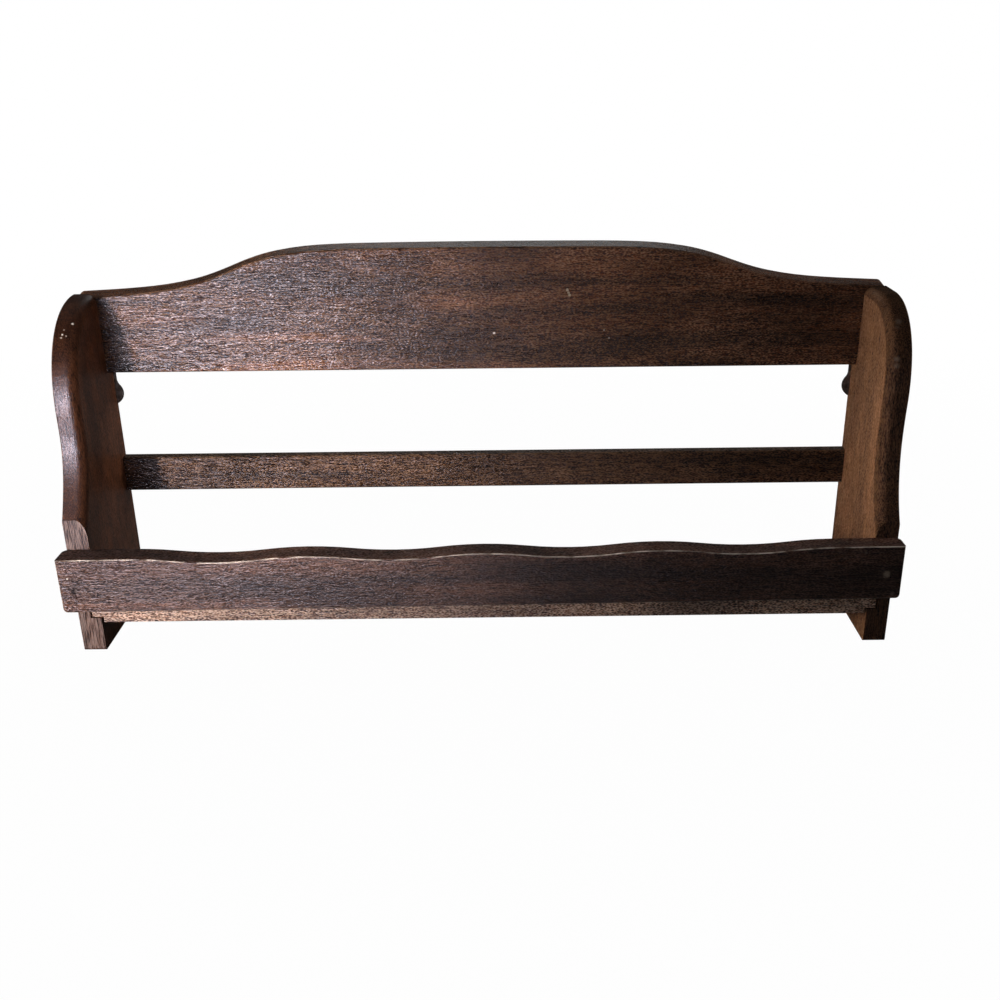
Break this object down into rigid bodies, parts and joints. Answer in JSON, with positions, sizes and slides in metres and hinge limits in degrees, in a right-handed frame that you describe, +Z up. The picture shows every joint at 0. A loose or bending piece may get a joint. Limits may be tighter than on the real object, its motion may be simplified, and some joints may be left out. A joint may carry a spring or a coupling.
{
  "type": "wall spice rack",
  "caption": "Wall-hung wooden spice rack with scrolled side panels, a serpentine crest board, an open back and a shelf behind a wavy front guard rail.",
  "frame": {"origin": "on the wall plane, midway between the two hanging eyes", "axes": "+X to the right along the rack's length, +Y into the wall, +Z up; the front faces -Y"},
  "size_m": [0.4029, 0.0783, 0.1896],
  "materials": {
    "stained_hardwood": "dark walnut stain under worn satin varnish",
    "shelf_hardwood": "thinly stained, nearly bare front edge",
    "hanger_steel": "tarnished pressed sheet",
    "nail_steel": "dull wire nail"
  },
  "bodies": {
    "root": {"left_side_panel": "stained_hardwood", "right_side_panel": "stained_hardwood", "crest_board": "stained_hardwood", "lower_back_rail": "stained_hardwood", "shelf_board": "shelf_hardwood", "front_rail": "stained_hardwood", "left_hanger_plate": "hanger_steel", "right_hanger_plate": "hanger_steel", "crest_nails": "nail_steel", "back_rail_nails": "nail_steel", "shelf_nails": "nail_steel", "front_rail_pins": "nail_steel", "hanger_tacks": "nail_steel"}
  },
  "joints": []
}
